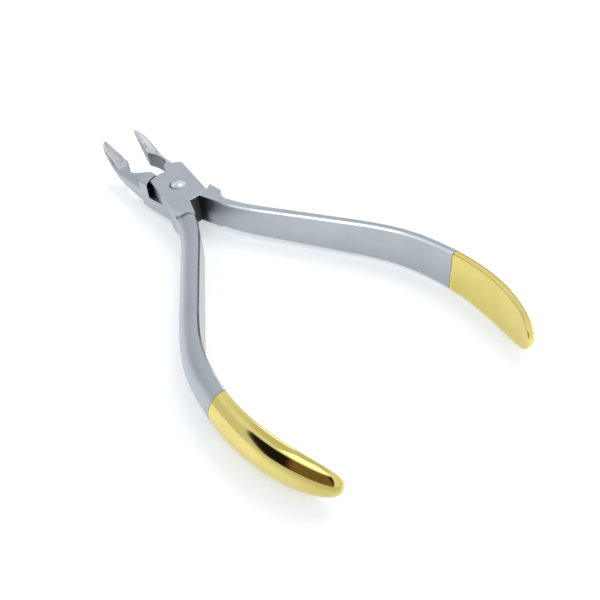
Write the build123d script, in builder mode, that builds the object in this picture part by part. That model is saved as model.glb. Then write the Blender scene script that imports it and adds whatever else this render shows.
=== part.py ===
import os
from math import cos, radians, sin, sqrt
from build123d import *

os.makedirs("parts", exist_ok=True)

# Driving sizes in millimetres and degrees; both arms are drawn closed, then opened to rest
lap_thick = 8.0
lap_radius = 8.25
lap_width = 11.2
lap_gap = 0.04
lap_chamfer = 0.2
shoulder_gap = 0.25
rest_opening = 15.8

# Rivet through the laps
rivet_dia = 3.4
rivet_head_dia = 4.5
rivet_head_depth = 0.8
rivet_dome = 0.5
rivet_clearance = 0.04

# Handle: plan path of its flat inner face, then the D section carried along it
handle_offset = 0.25
root_angle = 11.0
root_length = 8.4
root_bend_radius = 30.0
flare_angle = 24.5
flare_length = 29.6
bow_radius = 48.0
bow_turn = 60.5
handle_thick = 5.2
handle_end_thick = 3.5
handle_root_height = 7.5
handle_height_gain = 0.048
handle_bevel = 0.42
cove_reach = 1.6
tongue_length = 18.5
tongue_power = 2.6
tongue_edge = 0.6

# Gold plating on the handle ends, a little longer on the upper arm
upper_gold_length = 28.3
lower_gold_length = 26.9
gold_skin = 0.3

# Beak: straight root, bend upwards, straight tapered tip with a hard pad
beak_bend_start = 22.3
beak_bend_radius = 5.0
beak_bend_angle = 27.0
beak_tip_length = 10.0
beak_root_width = 5.55
beak_tip_width = 1.7
beak_tip_height = 0.7
beak_nose = 4.0
beak_belly = 0.15
pad_length = 11.3
pad_thick = 0.9
hollow_depth = 2.8
hollow_offset = 0.8

# Levels and positions worked out from the sizes above
mid = lap_thick / 2
half_width = lap_width / 2
half_opening = rest_opening / 2
shoulder_radius = lap_radius + shoulder_gap
side_x = sqrt(lap_radius**2 - half_width**2)
front_x = sqrt(lap_radius**2 - hollow_offset**2)
rear_x = sqrt(lap_radius**2 - handle_offset**2)
block_front = lap_radius + 2.9
block_rear = lap_radius + 2.8
beak_root_height = lap_thick - 2 * lap_chamfer
reach_far = 4 * lap_thick

# Plan path of the inner handle face, from the lap outwards
root_dir = (-cos(radians(root_angle)), sin(radians(root_angle)))
flare_dir = (-cos(radians(flare_angle)), sin(radians(flare_angle)))
with BuildLine() as handle_line:
    root = PolarLine((-rear_x, handle_offset), root_length, direction=root_dir)
    bend = JernArc(root @ 1, root_dir, root_bend_radius, root_angle - flare_angle)
    flare = PolarLine(bend @ 1, flare_length, direction=flare_dir)
    bow = JernArc(flare @ 1, flare_dir, bow_radius, bow_turn)
path = handle_line.wire()
tongue_start = path.length - tongue_length

# Close stations that round the end of the handle like a tongue
tongue_parts = [0, 0.22, 0.42, 0.6, 0.75, 0.86, 0.935, 0.98]
nose_parts = [0.98, 0.992, 0.998]

# Handle stretches of each arm: bare steel grip, plated end, and the steel core inside the plating
stretches = {}
for side, gold_length in (("upper", upper_gold_length), ("lower", lower_gold_length)):
    gold_start = path.length - gold_length
    grip_stops = [gold_start * n / 8 for n in range(9)]
    gold_stops = [gold_start + (tongue_start - gold_start) * n / 2 for n in range(3)]
    for name, skin in (("grip", 0.0), ("plated", 0.0), ("core", gold_skin)):
        tongue_stops = [tongue_start + (tongue_length - skin) * part for part in tongue_parts]
        nose_stops = [tongue_start + (tongue_length - skin) * part for part in nose_parts]
        with BuildPart() as stretch:
            for stops in [grip_stops] if name == "grip" else [gold_stops, tongue_stops, nose_stops]:
                for stop in stops:
                    taper = (stop / path.length) ** 2.5
                    close = max(0.0, (stop - tongue_start) / (tongue_length - skin))
                    rounding = (1 - close**tongue_power) ** (1 / tongue_power)
                    thick = handle_thick - (handle_thick - handle_end_thick) * taper
                    thick = tongue_edge + (thick - tongue_edge) * rounding - skin
                    tall = (handle_root_height + handle_height_gain * min(stop, tongue_start)) * rounding
                    edge = skin + handle_bevel * rounding
                    half = tall / 2 - skin
                    spot = path @ (stop / path.length) + Vector(0, 0, mid)
                    run = path % (stop / path.length)
                    with BuildSketch(Plane(spot, x_dir=(run.Y, -run.X, 0), z_dir=run)):
                        with BuildLine():
                            Line((skin, edge - skin - half), (skin, half - edge + skin))
                            Line((skin, half - edge + skin), (edge, half))
                            EllipticalCenterArc((edge, 0), thick - edge, half, -90, arc_size=180)
                            Line((edge, -half), (skin, edge - skin - half))
                        make_face()
                loft()
        stretches[side, name] = stretch.part

# Centre line of the beak, seen from the side
with BuildLine(Plane.XZ) as beak_line:
    beak_root = Line((lap_radius, mid), (beak_bend_start, mid))
    beak_bend = JernArc(beak_root @ 1, beak_root % 1, beak_bend_radius, beak_bend_angle)
    beak_tip = PolarLine(beak_bend @ 1, beak_tip_length, direction=beak_bend % 1)
beak_path = beak_line.wire()
nose_start = 1 - beak_nose / beak_path.length
taper_stops = [nose_start * n / 5 for n in range(6)]
tip_stops = [nose_start + (1 - nose_start) * part for part in (0, 0.4, 0.7, 0.9, 0.98)]

# Beak: flat on the side that grips, square underneath at its root, rounder towards its rounded tip
with BuildPart() as beak:
    for stops in (taper_stops, tip_stops):
        for part_way in stops:
            close = max(0.0, (part_way - nose_start) / (1 - nose_start))
            rounding = (1 - close**2.5) ** (1 / 2.5)
            spot = beak_path @ part_way
            run = beak_path % part_way
            width = (beak_root_width + (beak_tip_width - beak_root_width) * part_way**1.9) * rounding
            tall = beak_root_height + (beak_tip_height - beak_root_height) * part_way**1.3
            half = tall / 2 * (0.4 + 0.6 * rounding)
            widest = -2 * beak_belly * half
            keel = width * (0.15 + 0.7 * (1 - part_way**2))
            with BuildSketch(Plane(spot, x_dir=(0, -1, 0), z_dir=-run)):
                with BuildLine():
                    Line((0, half), (0, -half))
                    Line((0, -half), (keel, -half))
                    EllipticalCenterArc((keel, widest), width - keel, half + widest, -90, arc_size=90)
                    EllipticalCenterArc((0, widest), width, half - widest, 0, arc_size=90)
                make_face()
        loft()

# Hard pad let into the gripping face of the beak
pad_rear = beak_path @ (1 - pad_length / beak_path.length)
with BuildPart() as pad:
    add(beak.part)
    with Locations((pad_rear.X, 0, mid)):
        Box(reach_far, 2 * pad_thick, reach_far, align=(Align.MIN, Align.CENTER, Align.CENTER),
            mode=Mode.INTERSECT)

# Steel of the beak: less the pad, and less the hollow behind it that keeps wire clear
with BuildPart() as bare_beak:
    add(beak.part)
    add(pad.part, mode=Mode.SUBTRACT)
    with BuildSketch(Plane.XY.offset(-reach_far)):
        with BuildLine():
            j = Line((lap_radius - 1, -hollow_offset), (1.5 * lap_radius, -hollow_offset))
            k = ThreePointArc(j @ 1, (2.07 * lap_radius, -hollow_depth), (pad_rear.X, 0))
            Polyline(k @ 1, (pad_rear.X, 1), (lap_radius - 1, 1), j @ 0)
        make_face()
    extrude(amount=2 * reach_far, mode=Mode.SUBTRACT)

# Fold where the flat of the lap drops in a cove to the rounded handle
fold_inner = root @ (1 - cove_reach / root_length)
fold_outer = Vector(-block_rear, half_width)
fold_run = (fold_inner - fold_outer).normalized()
cove_step = root @ 1 - fold_inner
cove_foot = fold_outer + cove_step
cove_radius = abs(cove_step.cross(fold_run).Z)

# Head of one arm: lap block and beak
with BuildPart() as head:
    with BuildSketch(Plane.XY):
        with BuildLine():
            a = Line((-side_x, -half_width), (block_front - 1, -half_width))
            b = Line(a @ 1, (block_front, -0.65 * half_width))
            c = Line(b @ 1, (block_front, -hollow_offset))
            d = Line(c @ 1, (front_x, -hollow_offset))
            e = RadiusArc(d @ 1, (side_x, half_width), -lap_radius)
            f = Line(e @ 1, fold_outer)
            g = Polyline(f @ 1, cove_foot, root @ 1)
            h = Line(g @ 1, root @ 0)
            i = RadiusArc(h @ 1, a @ 0, -lap_radius)
        make_face()
    extrude(amount=lap_thick)
    sides = head.edges().filter_by_position(Axis.Y, half_width, half_width)
    sides += head.edges().filter_by_position(Axis.Y, -half_width, -half_width)
    rims = head.edges().filter_by(GeomType.CIRCLE) + sides.filter_by(Axis.X)
    chamfer(rims, lap_chamfer)
    for level in (0, lap_thick):
        with BuildSketch(Plane(cove_foot + Vector(0, 0, level), x_dir=(0, 0, 1), z_dir=fold_run)):
            Ellipse(2 * cove_radius, cove_radius)
    extrude(amount=reach_far, both=True, mode=Mode.SUBTRACT)
    add(bare_beak.part)

# Steel blank of each arm: head and handle, both drawn for the upper arm's side
blanks = {}
for side in ("upper", "lower"):
    with BuildPart() as blank:
        add(head.part)
        add(stretches[side, "grip"])
        add(stretches[side, "core"])
    blanks[side] = blank.part

# Upper arm: the half of the lap above the joint face, free to turn on the rivet
with BuildPart() as upper_arm:
    add(blanks["upper"], rotation=(0, 0, -half_opening))
    with BuildSketch(Plane.XY.offset(mid + lap_gap / 2)):
        Circle(shoulder_radius)
    extrude(amount=-reach_far, mode=Mode.SUBTRACT)
    with BuildSketch(Plane.XZ):
        with BuildLine():
            Polyline((0, 0), (rivet_dia / 2 + rivet_clearance, 0),
                     (rivet_dia / 2 + rivet_clearance, lap_thick - rivet_head_depth),
                     (rivet_head_dia / 2 + rivet_clearance, lap_thick), (0, lap_thick), close=True)
        make_face()
    revolve(axis=Axis.Z, mode=Mode.SUBTRACT)
upper_arm.part.label = "upper_arm"
export_step(upper_arm.part, "parts/upper_arm.step")

# Lower arm: its blank the other way about, with the half of the lap below the joint face
turned_blank = mirror(blanks["lower"], about=Plane.XZ)
with BuildPart() as lower_arm:
    add(turned_blank, rotation=(0, 0, half_opening))
    with BuildSketch(Plane.XY.offset(mid - lap_gap / 2)):
        Circle(shoulder_radius)
    extrude(amount=reach_far, mode=Mode.SUBTRACT)
    with BuildSketch(Plane.XZ):
        with BuildLine():
            Polyline((0, 0), (rivet_head_dia / 2, 0), (rivet_dia / 2, rivet_head_depth),
                     (rivet_dia / 2, lap_thick), (0, lap_thick), close=True)
        make_face()
    revolve(axis=Axis.Z, mode=Mode.SUBTRACT)
lower_arm.part.label = "lower_arm"
export_step(lower_arm.part, "parts/lower_arm.step")

# Rivet: tail spread flush underneath, domed countersunk head on top
with BuildPart() as pivot_rivet:
    with BuildSketch(Plane.XZ):
        with BuildLine():
            Polyline((0, lap_thick + rivet_dome), (0, 0), (rivet_head_dia / 2, 0),
                     (rivet_dia / 2, rivet_head_depth), (rivet_dia / 2, lap_thick - rivet_head_depth),
                     (rivet_head_dia / 2, lap_thick))
            dome_radius = (rivet_head_dia**2 / 4 + rivet_dome**2) / (2 * rivet_dome)
            RadiusArc((rivet_head_dia / 2, lap_thick), (0, lap_thick + rivet_dome), -dome_radius)
        make_face()
    revolve(axis=Axis.Z)
pivot_rivet.part.label = "pivot_rivet"
export_step(pivot_rivet.part, "parts/pivot_rivet.step")

# Hard pads in the two beaks
with BuildPart() as upper_pad:
    add(pad.part, rotation=(0, 0, -half_opening))
upper_pad.part.label = "upper_pad"
export_step(upper_pad.part, "parts/upper_pad.step")

turned_pad = mirror(pad.part, about=Plane.XZ)
with BuildPart() as lower_pad:
    add(turned_pad, rotation=(0, 0, half_opening))
lower_pad.part.label = "lower_pad"
export_step(lower_pad.part, "parts/lower_pad.step")

# Gold plating: the plated stretch of each handle less the steel core inside it
platings = {}
for side in ("upper", "lower"):
    with BuildPart() as plating:
        add(stretches[side, "plated"])
        add(stretches[side, "core"], mode=Mode.SUBTRACT)
    platings[side] = plating.part
with BuildPart() as upper_plating:
    add(platings["upper"], rotation=(0, 0, -half_opening))
upper_plating.part.label = "upper_plating"
export_step(upper_plating.part, "parts/upper_plating.step")

turned_plating = mirror(platings["lower"], about=Plane.XZ)
with BuildPart() as lower_plating:
    add(turned_plating, rotation=(0, 0, half_opening))
lower_plating.part.label = "lower_plating"
export_step(lower_plating.part, "parts/lower_plating.step")
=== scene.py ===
from cmath import rect
from math import cos, pi, radians, sin, sqrt

import bmesh
import bpy
from mathutils import Matrix, Vector


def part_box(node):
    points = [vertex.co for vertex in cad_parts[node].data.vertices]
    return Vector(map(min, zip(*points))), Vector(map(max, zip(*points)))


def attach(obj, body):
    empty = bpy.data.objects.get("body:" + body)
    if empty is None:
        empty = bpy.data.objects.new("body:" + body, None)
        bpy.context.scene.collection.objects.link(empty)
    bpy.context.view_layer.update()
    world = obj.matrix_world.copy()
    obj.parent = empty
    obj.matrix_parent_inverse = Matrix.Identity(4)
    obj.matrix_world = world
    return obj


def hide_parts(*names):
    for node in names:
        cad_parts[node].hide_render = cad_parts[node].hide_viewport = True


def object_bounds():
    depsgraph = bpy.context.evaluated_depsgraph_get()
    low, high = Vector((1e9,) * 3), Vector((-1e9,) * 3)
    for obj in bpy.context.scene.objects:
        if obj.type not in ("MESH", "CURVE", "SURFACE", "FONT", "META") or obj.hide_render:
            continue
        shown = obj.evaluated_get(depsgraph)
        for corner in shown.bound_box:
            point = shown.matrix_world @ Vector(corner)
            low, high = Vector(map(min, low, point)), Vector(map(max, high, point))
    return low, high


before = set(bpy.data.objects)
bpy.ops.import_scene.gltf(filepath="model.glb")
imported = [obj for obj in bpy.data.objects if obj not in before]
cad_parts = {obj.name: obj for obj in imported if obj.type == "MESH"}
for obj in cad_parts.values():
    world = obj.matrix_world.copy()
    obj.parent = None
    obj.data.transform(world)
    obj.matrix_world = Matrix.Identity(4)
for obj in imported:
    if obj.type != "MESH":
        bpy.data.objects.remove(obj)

cad_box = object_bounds()


# Upper and lower arm: two drop-forged stainless arms, each a beak, half of a lap and a handle in one.
# They are blasted to an even satin grey; the handles' narrow bevels, the lap's rims and the beaks' tops
# are polished, partly with a painted sheen; painted shade darkens the hollows behind the pads and the joint.
lap_low, lap_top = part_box("pivot_rivet")[0][2], 0.008
lap_reach, rim_depth = 0.009, 0.00025
handle_from, hollow_span, beak_fade = -0.0135, (0.0105, 0.0235), (0.0205, 0.0265)
bevel_lean, top_lean = (0.45, 0.92), (0.55, 0.85)
# Painted shade in the joint: the seam round the shoulder and the crotch behind it are coloured dark where
# little light reaches.
seam_in, seam_out, seam_quarter = (0.0060, 0.0075), (0.0086, 0.0088), (1e-6, 1.4e-5)
crotch_from, crotch_to, crotch_side, crotch_lean = (-0.0070, -0.0055), (0.0095, 0.0135), (0.0002, 0.0008), 0.22
shade_low, shade_top = (0.0036, 0.0041), (0.0074, 0.0078)
satin_dark, satin_light = (0.44, 0.468, 0.495, 1), (0.49, 0.518, 0.545, 1)
# The polished colour is brighter than steel, partly a painted sheen; the hollow wall and joint colours are
# painted shade.
polished_sheen, hollow_shade_wall, joint_shade_colour = (0.80, 0.82, 0.84, 1), (0.20, 0.21, 0.225, 1), (0.02, 0.02, 0.022, 1)
weld, crease = 2e-6, radians(28)


class Tone:
    """A value in a node tree: sums on it add Math nodes, and node() adds any other."""

    def __init__(self, tree, socket=None):
        self.tree = tree
        self.socket = socket

    def node(self, kind, settings=None, sockets=None, out=0):
        made = self.tree.nodes.new(kind)
        for name, value in (settings or {}).items():
            setattr(made, name, value)
        for name, value in (sockets or {}).items():
            if isinstance(value, Tone):
                self.tree.links.new(value.socket, made.inputs[name])
            else:
                made.inputs[name].default_value = value
        return Tone(self.tree, made.outputs[out])

    def math(self, operation, first, second=0.0):
        return self.node("ShaderNodeMath", {"operation": operation}, {0: first, 1: second})

    def __add__(self, other):
        return self.math("ADD", self, other)

    __radd__ = __add__

    def __sub__(self, other):
        return self.math("SUBTRACT", self, other)

    def __rsub__(self, other):
        return self.math("SUBTRACT", other, self)

    def __mul__(self, other):
        return self.math("MULTIPLY", self, other)

    __rmul__ = __mul__

    def __pow__(self, other):
        return self.math("POWER", self, other)

    def most(self, other):
        """Never more than the other value."""
        return self.math("MINIMUM", self, other)

    def least(self, other):
        """Never less than the other value."""
        return self.math("MAXIMUM", self, other)

    def ramp(self, low, high):
        """0 below low and 1 above high, eased between."""
        return self.node("ShaderNodeMapRange", {"interpolation_type": "SMOOTHSTEP"},
                         {"Value": self, "From Min": low, "From Max": high})

    def mix(self, first, second):
        """The first colour where this is 0, the second where it is 1."""
        return self.node("ShaderNodeMix", {"data_type": "RGBA"}, {0: self, 6: first, 7: second}, out=2)

    def bump(self, strength, distance):
        """A Normal that this value raises."""
        return self.node("ShaderNodeBump", None,
                         {"Strength": strength, "Distance": distance, "Height": self})

    def feed(self, socket):
        self.tree.links.new(self.socket, socket)


def new_material(name):
    """A metal or paper with a Principled shader: its sockets, a first tone and its coordinates."""
    material = bpy.data.materials.new(name)
    material.use_nodes = True
    start = Tone(material.node_tree)
    place = start.node("ShaderNodeTexCoord", out="Object")
    return material, material.node_tree.nodes["Principled BSDF"].inputs, start, place


def noise(start, place, scale, detail=2.0):
    return start.node("ShaderNodeTexNoise", None, {"Vector": place, "Scale": scale, "Detail": detail})


def stretched(start, place, scale):
    return start.node("ShaderNodeMapping", None, {"Vector": place, "Scale": scale})


def marked(start, attribute):
    return start.node("ShaderNodeAttribute", {"attribute_name": attribute}, out="Fac")


def satin_steel():
    material, shader, start, place = new_material("satin_steel")
    drift = noise(start, place, 110.0, 3.0)
    grain = noise(start, place, 5200.0)
    brush = noise(start, stretched(start, place, (0.12, 1.0, 1.0)), 2600.0)
    polish_and_sheen, hollow_shade = marked(start, "polish_and_sheen"), marked(start, "hollow_shade")
    x, y, z = (start.node("ShaderNodeSeparateXYZ", None, {0: place}, out=axis) for axis in "XYZ")
    reach = (x * x + y * y) ** 0.5
    seam = reach.ramp(*seam_in) * (1 - reach.ramp(*seam_out)) * (x * y).ramp(*seam_quarter)
    beside = start.math("ABSOLUTE", y) + crotch_lean * x
    behind = (1 - x.ramp(*crotch_from)) * (1 - reach.ramp(*crotch_to))
    crotch = behind * (1 - beside.ramp(*crotch_side))
    # Painted shade: the joint's seam and crotch get a near-black colour and more roughness.
    joint_shade = seam.least(0.9 * crotch) * (1 - z.ramp(*shade_top)) * z.ramp(*shade_low).least(crotch)
    satin = (drift * 0.6 + grain * 0.25 + brush * 0.15).ramp(0.3, 0.7).mix(satin_dark, satin_light)
    # Painted shade: the walls of the hollows behind the pads take a dark colour.
    outside_joint = hollow_shade.mix(polish_and_sheen.mix(satin, polished_sheen), hollow_shade_wall)
    joint_shade.mix(outside_joint, joint_shade_colour).feed(shader["Base Color"])
    shader["Metallic"].default_value = 1.0
    rough = 0.24 + 0.10 * grain + 0.05 * drift
    (rough * (1 - polish_and_sheen) + 0.13 * polish_and_sheen + 0.25 * joint_shade).feed(shader["Roughness"])
    blasted = (grain * 0.7 + brush * 0.3) * (1 - 0.8 * polish_and_sheen)
    blasted.bump(0.10, 0.00004).feed(shader["Normal"])
    return material


def laid_out(name, mesh):
    """A piece at the origin from its mesh, with curves shaded smooth and creases kept sharp."""
    mesh.shade_smooth()
    mesh.set_sharp_from_angle(angle=crease)
    piece = bpy.data.objects.new(name, mesh)
    bpy.context.collection.objects.link(piece)
    return piece


def smooth_copy(node, name):
    """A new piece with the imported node's shape, its loose triangles merged."""
    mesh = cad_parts[node].data.copy()
    mesh.name = name
    form = bmesh.new()
    form.from_mesh(mesh)
    bmesh.ops.remove_doubles(form, verts=form.verts, dist=weld)
    form.to_mesh(mesh)
    form.free()
    if "custom_normal" in mesh.attributes:
        mesh.attributes.remove(mesh.attributes["custom_normal"])
    mesh.materials.clear()
    return laid_out(name, mesh)


def share(value, span):
    """How far a value is along a span, from 0 to 1."""
    return min(max((value - span[0]) / (span[1] - span[0]), 0.0), 1.0)


steel = satin_steel()
for name, inner in (("upper", -1), ("lower", 1)):
    arm = smooth_copy(name + "_arm", name + "_arm_satin")
    polish_and_sheen = arm.data.attributes.new("polish_and_sheen", "FLOAT", "FACE")
    hollow_shade = arm.data.attributes.new("hollow_shade", "FLOAT", "FACE")
    for face in arm.data.polygons:
        spot, normal = face.center, face.normal
        leaning = bevel_lean[0] < abs(normal.z) < bevel_lean[1]
        bevel = leaning and normal.y * inner > 0.3 and spot.x < handle_from
        at_rim = not lap_low + rim_depth < spot.z < lap_top - rim_depth
        rim = leaning and spot.xy.length < lap_reach and at_rim
        beak_top = share(spot.x, beak_fade) * share(normal.z, top_lean)
        # Polished faces get a painted sheen: bevels, rims and the up-facing beak tops are coloured brighter.
        polish_and_sheen.data[face.index].value = 1.0 if bevel else 0.5 if rim else 0.8 * beak_top
        # Marks the hollow walls that are painted dark as shade.
        inward = abs(normal.z) < 0.35 and normal.y * inner < -0.2
        hollow_shade.data[face.index].value = float(inward and hollow_span[0] < spot.x < hollow_span[1])
    arm.data.materials.append(steel)
    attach(arm, name)
    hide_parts(name + "_arm")


# Pivot rivet: a hard steel pin, its tail spread under the lower lap and its domed head set in the
# upper one. The dome is turned and polished, so it shows fine rings about its axis, and painted shade
# darkens its seam, more on one side.
ring_angle_per_metre = 40000.0
dome_seam, seam_lean = (0.00196, 0.00214), (0.09, 0.06, 0.0)
dome_dark, dome_light, seam_shade_colour = (0.66, 0.68, 0.70, 1), (0.78, 0.79, 0.81, 1), (0.03, 0.03, 0.033, 1)


def turned_dome():
    material, shader, start, place = new_material("turned_dome")
    flat = start.node("ShaderNodeVectorMath", {"operation": "MULTIPLY"}, {0: place, 1: (1.0, 1.0, 0.0)})
    reach = start.node("ShaderNodeVectorMath", {"operation": "LENGTH"}, {0: flat}, out="Value")
    lean = start.node("ShaderNodeVectorMath", {"operation": "DOT_PRODUCT"},
                      {0: place, 1: seam_lean}, out="Value")
    rings = start.math("SINE", reach * ring_angle_per_metre)
    smear = noise(start, place, 900.0, 3.0)
    bright = smear.ramp(0.35, 0.65).mix(dome_dark, dome_light)
    # Painted shade: a dark ring at the dome's seam, wider on one side.
    (reach + lean).ramp(*dome_seam).mix(bright, seam_shade_colour).feed(shader["Base Color"])
    shader["Metallic"].default_value = 1.0
    (0.10 + 0.10 * smear + 0.02 * rings).feed(shader["Roughness"])
    rings.bump(0.06, 0.00002).feed(shader["Normal"])
    return material


rivet = smooth_copy("pivot_rivet", "pivot_rivet_polished")
rivet.data.materials.append(turned_dome())
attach(rivet, "lower")
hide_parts("pivot_rivet")


# Gripping pads: hard inserts brazed into the beaks' inner faces, ground flat after brazing.
# Their edges are as bright as the arms, their gripping faces painted dark as shade, with fine grinding lines
# across.
pad_dark, pad_light, grip_dark = (0.42, 0.44, 0.47, 1), (0.52, 0.54, 0.57, 1), (0.17, 0.175, 0.19, 1)


def ground_pad():
    material, shader, start, place = new_material("ground_pad")
    lines = noise(start, stretched(start, place, (1.0, 0.1, 0.25)), 5200.0)
    cloud = noise(start, place, 500.0)
    edge = (0.6 * lines + 0.4 * cloud).ramp(0.3, 0.7).mix(pad_dark, pad_light)
    # Painted shade: the gripping faces take a dark colour.
    marked(start, "grip").mix(edge, grip_dark).feed(shader["Base Color"])
    shader["Metallic"].default_value = 1.0
    (0.28 + 0.06 * lines).feed(shader["Roughness"])
    lines.bump(0.02, 0.00003).feed(shader["Normal"])
    return material


ground = ground_pad()
for name, grip_side in (("upper", 1), ("lower", -1)):
    pad = smooth_copy(name + "_pad", name + "_pad_ground")
    grip = pad.data.attributes.new("grip", "FLOAT", "FACE")
    for face in pad.data.polygons:
        # Marks the gripping faces, which are painted dark as shade.
        grip.data[face.index].value = float(face.normal.y * grip_side > 0.8)
    pad.data.materials.append(ground)
    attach(pad, name)
    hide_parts(name + "_pad")


# Gold ends: the last stretch of each handle, polished like a mirror and plated with gold.
# Its D section follows the handle's bow, thins towards the end and closes like a tongue.
# The plating stops at a slightly ragged line across the handle, brown where it is thin.
gold_lengths = {"upper": 0.0283, "lower": 0.0269}
tongue_length, tongue_power, tongue_edge, bevel_width = 0.0185, 2.6, 0.0006, 0.00042
thick_root, thick_end, thin_power, tall_root, tall_gain = 0.0052, 0.0035, 2.5, 0.0075, 0.048
bevel_share, section_middle, mid_level = 0.38, 0.4, 0.004
points_round, points_along, straight_share = 96, 90, 0.35
plate_dark, plate_light, plate_thin = (0.77, 0.645, 0.20, 1), (0.81, 0.685, 0.24, 1), (0.36, 0.25, 0.13, 1)
plate_edge, plate_ragged = (0.00005, 0.00035), 0.0006

half_opening = radians(7.9)
shoulder_reach, shoulder_offset = 0.00825, 0.00025
root_length, bend_radius, flare_length = 0.0084, 0.030, 0.0296
bow_radius, bow_turn = 0.048, radians(60.5)
root_heading, flare_heading = radians(180 - 11) - half_opening, radians(180 - 24.5) - half_opening
root_start = complex(-sqrt(shoulder_reach**2 - shoulder_offset**2), shoulder_offset) * rect(1, -half_opening)
bend_start = root_start + rect(root_length, root_heading)
bend_middle = bend_start + rect(bend_radius, root_heading - pi / 2)
flare_start = bend_middle + rect(bend_radius, flare_heading + pi / 2)
bow_start = flare_start + rect(flare_length, flare_heading)
bow_middle = bow_start + rect(bow_radius, flare_heading + pi / 2)
bow_end = flare_heading + bow_turn - pi / 2
bend_length = bend_radius * (root_heading - flare_heading)
handle_length = root_length + bend_length + flare_length + bow_radius * bow_turn


def mirror_gold():
    material, shader, start, place = new_material("mirror_gold")
    cloud = noise(start, place, 160.0, 3.0)
    wipe = noise(start, place, 1800.0)
    ragged = noise(start, place, 1500.0, 3.0)
    full = (marked(start, "run") + plate_ragged * (ragged - 0.5)).ramp(*plate_edge)
    body = cloud.ramp(0.3, 0.7).mix(plate_dark, plate_light)
    full.mix(plate_thin, body).feed(shader["Base Color"])
    shader["Metallic"].default_value = 1.0
    (0.05 + 0.04 * cloud + 0.03 * wipe + 0.2 * (1 - full)).feed(shader["Roughness"])
    cloud.bump(0.03, 0.00005).feed(shader["Normal"])
    return material


def tongue_tree(material):
    """A plated handle end: a sheet of points, wrapped round the section and laid along the bow."""
    tree = bpy.data.node_groups.new("gold_end", "GeometryNodeTree")
    tree.interface.new_socket("Gold Length", in_out="INPUT", socket_type="NodeSocketFloat")
    tree.interface.new_socket("Side", in_out="INPUT", socket_type="NodeSocketFloat")
    tree.interface.new_socket("Geometry", in_out="OUTPUT", socket_type="NodeSocketGeometry")
    start = Tone(tree)
    asked = tree.nodes.new("NodeGroupInput")
    gold_length, side = Tone(tree, asked.outputs["Gold Length"]), Tone(tree, asked.outputs["Side"])
    grid = start.node("GeometryNodeMeshGrid", None, {
        "Size X": 1.0, "Size Y": 1.0, "Vertices X": points_round + 1, "Vertices Y": points_along + 1})
    spot = start.node("GeometryNodeInputPosition")
    across, along = (start.node("ShaderNodeSeparateXYZ", None, {0: spot}, out=axis) + 0.5 for axis in "XY")

    # Along the handle: a closed first row, a straight stretch, and then the tongue.
    first_row = 1.5 / points_along
    cap = (along * points_along).most(1.0)
    straight = ((along - first_row) * (1 / (straight_share - first_row))).least(0.0).most(1.0)
    closing = ((along - straight_share) * (pi / 2 / (1 - straight_share))).least(0.0)
    rounding = start.math("COSINE", closing).least(0.0) ** (2 / tongue_power)
    closed = start.math("SINE", closing).least(0.0) ** (2 / tongue_power)
    run = straight * (gold_length - tongue_length) + closed * tongue_length
    stop = handle_length - gold_length + run

    # Round the section: flat inside, bevelled at its edges, curved outside.
    taper = (stop * (1 / handle_length)) ** thin_power
    thick = tongue_edge + (thick_root - (thick_root - thick_end) * taper - tongue_edge) * rounding
    half = (tall_root + tall_gain * stop.most(handle_length - tongue_length)) * 0.5 * rounding
    edge = bevel_width * rounding
    turn = across * (2 * pi)
    outer = start.math("COSINE", turn)
    bevel = (1 + outer * (1 / bevel_share)).least(0.0).most(1.0)
    middle = thick * section_middle
    out = (edge * bevel + (thick - edge) * outer.least(0.0) - middle) * cap + middle
    rise = half * start.math("SINE", turn) * cap

    # Laid along the bow, on one side or the other.
    angle = bow_end - (handle_length - stop) * (1 / bow_radius)
    x = bow_middle.real + (bow_radius + out) * start.math("COSINE", angle)
    y = (bow_middle.imag + (bow_radius + out) * start.math("SINE", angle)) * side
    laid = start.node("ShaderNodeCombineXYZ", None, {"X": x, "Y": y, "Z": mid_level + rise})
    kept = start.node("GeometryNodeStoreNamedAttribute", {"data_type": "FLOAT", "domain": "POINT"},
                      {"Geometry": grid, "Name": "run", "Value": run})
    shape = start.node("GeometryNodeSetPosition", None, {"Geometry": kept, "Position": laid})
    shut = start.node("GeometryNodeMergeByDistance", None, {"Geometry": shape, "Distance": weld})
    made = start.node("GeometryNodeRealizeInstances", None, {"Geometry": shut})
    plated = start.node("GeometryNodeSetMaterial", None, {"Geometry": made, "Material": material})
    plated.feed(tree.nodes.new("NodeGroupOutput").inputs["Geometry"])
    return tree


tongue = tongue_tree(mirror_gold())
for name, side in (("upper", 1.0), ("lower", -1.0)):
    maker = bpy.data.objects.new(name + "_maker", bpy.data.meshes.new("start"))
    bpy.context.collection.objects.link(maker)
    step = maker.modifiers.new("tongue", "NODES")
    step.node_group = tongue
    for socket, value in (("Gold Length", gold_lengths[name]), ("Side", side)):
        step[tongue.interface.items_tree[socket].identifier] = value
    shape = maker.evaluated_get(bpy.context.evaluated_depsgraph_get())
    mesh = bpy.data.meshes.new_from_object(shape)
    bpy.data.objects.remove(maker)
    form = bmesh.new()
    form.from_mesh(mesh)
    bmesh.ops.dissolve_degenerate(form, edges=form.edges, dist=1e-7)
    bmesh.ops.recalc_face_normals(form, faces=form.faces)
    form.to_mesh(mesh)
    form.free()
    end = laid_out(name + "_gold_end", mesh)
    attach(end, name)
    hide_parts(name + "_plating")


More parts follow.
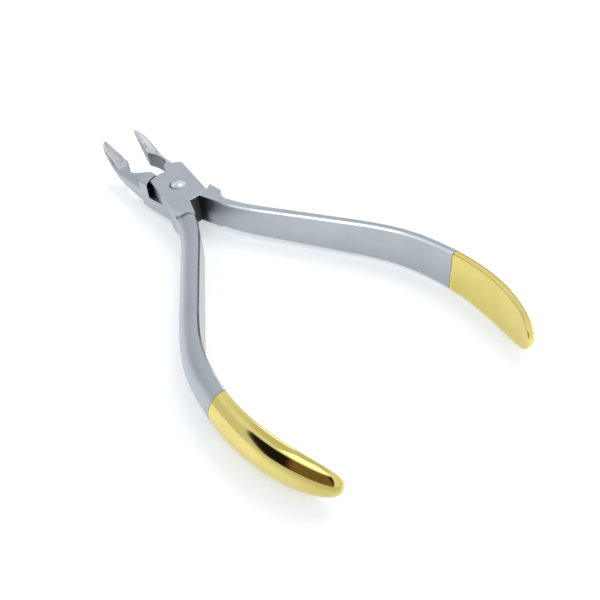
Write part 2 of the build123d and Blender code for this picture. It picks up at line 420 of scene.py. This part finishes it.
# Studio: a white sheet that the pliers lie on and that ends just in front of them, in a pale room.
# A lamp shines behind the camera, with dark and brown below it, and a window lights the far side,
# which is dark low down.
sheet_across, sheet_away = Vector((-0.603, -0.798)), Vector((0.798, -0.603))
sheet_front, sheet_back, sheet_side, front_fade = -0.116, 1.2, 0.9, (-0.106, -0.089)
paper_dark, paper_light, paper_shine = (0.61, 0.62, 0.63, 1), (0.64, 0.65, 0.66, 1), (0.92, 0.97, 1.0, 1)
wall_low, wall_high, wall_far = (0.90, 0.93, 0.98, 1), (0.66, 0.67, 0.68, 1), (0.73, 0.75, 0.76, 1)
shine, dark_brown = (2.1, 2.1, 2.1, 1), (0.20, 0.13, 0.06, 1)
black, dark_grey, white = (0.012, 0.012, 0.013, 1), (0.10, 0.10, 0.11, 1), (1, 1, 1, 1)
window_place, window_aim = Vector((0.02, -0.45, 0.78)), Vector((-0.04, 0, 0))
window_size, window_power, window_colour = 0.5, 2.4, (1.0, 0.97, 0.93)


def white_sheet():
    material, shader, start, place = new_material("white_sheet")
    noise(start, place, 6.0).ramp(0.2, 0.8).mix(paper_dark, paper_light).feed(shader["Base Color"])
    shader["Roughness"].default_value = 0.9
    x, y = (start.node("ShaderNodeSeparateXYZ", None, {0: place}, out=axis) for axis in "XY")
    front = (sheet_away.x * x + sheet_away.y * y).ramp(*front_fade)
    camera_ray, glossy_ray, passing_ray = (
        start.node("ShaderNodeLightPath", out="Is %s Ray" % kind)
        for kind in ("Camera", "Glossy", "Transmission"))
    seen = camera_ray.least((glossy_ray + passing_ray).most(1.0) * front)
    seen.mix((0, 0, 0, 1), paper_shine).feed(shader["Emission Color"])
    shader["Emission Strength"].default_value = 0.45
    return material


floor_mesh = bpy.data.meshes.new("sheet")
corners = [sheet_across * a * sheet_side + sheet_away * b for a, b in
           ((-1, sheet_front), (1, sheet_front), (1, sheet_back), (-1, sheet_back))]
floor_mesh.from_pydata([(*corner, cad_box[0][2]) for corner in corners], [], [(0, 1, 2, 3)])
floor_mesh.materials.append(white_sheet())
floor = bpy.data.objects.new("sheet", floor_mesh)
bpy.context.collection.objects.link(floor)

world = bpy.data.worlds.new("pale_room")
bpy.context.scene.world = world
world.use_nodes = True
room = Tone(world.node_tree)
backdrop = world.node_tree.nodes["Background"].inputs
toward = room.node("ShaderNodeTexCoord", out="Generated")
rise = room.node("ShaderNodeSeparateXYZ", None, {0: toward}, out="Z")
flat_way = room.node("ShaderNodeVectorMath", {"operation": "MULTIPLY"}, {0: toward, 1: (1.0, 1.0, 0.0)})
level = room.node("ShaderNodeVectorMath", {"operation": "NORMALIZE"}, {0: flat_way})


def facing(degrees):
    """1 towards a compass direction, less to either side of it."""
    way = (cos(radians(degrees)), sin(radians(degrees)), 0.0)
    return room.node("ShaderNodeVectorMath", {"operation": "DOT_PRODUCT"}, {0: level, 1: way}, out="Value")


def towards(degrees, reach, fade):
    """1 within reach of a compass direction, fading to 0."""
    return facing(degrees).ramp(cos(radians(reach + fade)), cos(radians(reach)))


def between(low, high):
    """1 from one height to another, fading to 0 over each pair's span."""
    return rise.ramp(*low) * (1 - rise.ramp(*high))


far_side = towards(30, 35, 30) * (1 - rise.ramp(0.45, 0.65))
walls = far_side.mix(rise.ramp(0.72, 0.88).mix(wall_low, wall_high), wall_far)
lamp_shine = towards(130, 46, 8) * between((0.70, 0.78), (0.965, 0.99))
window_shine = towards(-40, 8, 8) * between((0.74, 0.80), (0.86, 0.92))
lit = (lamp_shine + window_shine).mix(walls, shine)
dark_low = towards(-70, 25, 15) * (1 - rise.ramp(0.08, 0.20))
dark_front = (facing(117) + 0.354 * rise).ramp(0.71, 0.785) * (1 - rise.ramp(0.58, 0.66))
below_lamp = towards(125, 24, 8).mix(black, dark_brown)
shown = dark_front.mix(dark_low.mix(lit, dark_grey), below_lamp)
room.node("ShaderNodeLightPath", out="Is Camera Ray").mix(shown, white).feed(backdrop["Color"])

window = bpy.data.lights.new("window", "AREA")
window.shape, window.size = "DISK", window_size
window.energy, window.color = window_power, window_colour
holder = bpy.data.objects.new("window", window)
holder.location = window_place
holder.rotation_euler = (window_aim - window_place).to_track_quat("-Z", "Y").to_euler()
holder.visible_glossy = False
bpy.context.collection.objects.link(holder)


# Camera: stands above the handles' ends and to the left of them, tilted a little to one side.
# Its focal length and the middle of its picture are in pixels of a square picture.
picture, focal, picture_middle = 600, 671.262, (314.533, 290.979)
camera_turn, camera_rise, camera_roll = radians(232.866), radians(42.187), radians(-3.433)
camera_reach, camera_aim = 0.157872, Vector((-0.0504189, -0.0055278, 0))
back = Vector((sin(camera_turn) * cos(camera_rise), -cos(camera_turn) * cos(camera_rise), sin(camera_rise)))
level_line = (-back).cross(Vector((0, 0, 1))).normalized()
upright = level_line.cross(-back)
across = cos(camera_roll) * level_line + sin(camera_roll) * upright
above = cos(camera_roll) * upright - sin(camera_roll) * level_line
lens = bpy.data.cameras.new("camera")
lens.sensor_width = 36.0
lens.lens = focal / picture * lens.sensor_width
lens.shift_x = (picture / 2 - picture_middle[0]) / picture
lens.shift_y = (picture_middle[1] - picture / 2) / picture
lens.clip_start = 0.01
camera = bpy.data.objects.new("camera", lens)
camera_axes = Matrix((across, above, back)).transposed().to_4x4()
camera.matrix_world = Matrix.Translation(camera_aim + camera_reach * back) @ camera_axes
bpy.context.collection.objects.link(camera)
bpy.context.scene.camera = camera
bpy.context.scene.view_settings.view_transform = "Standard"
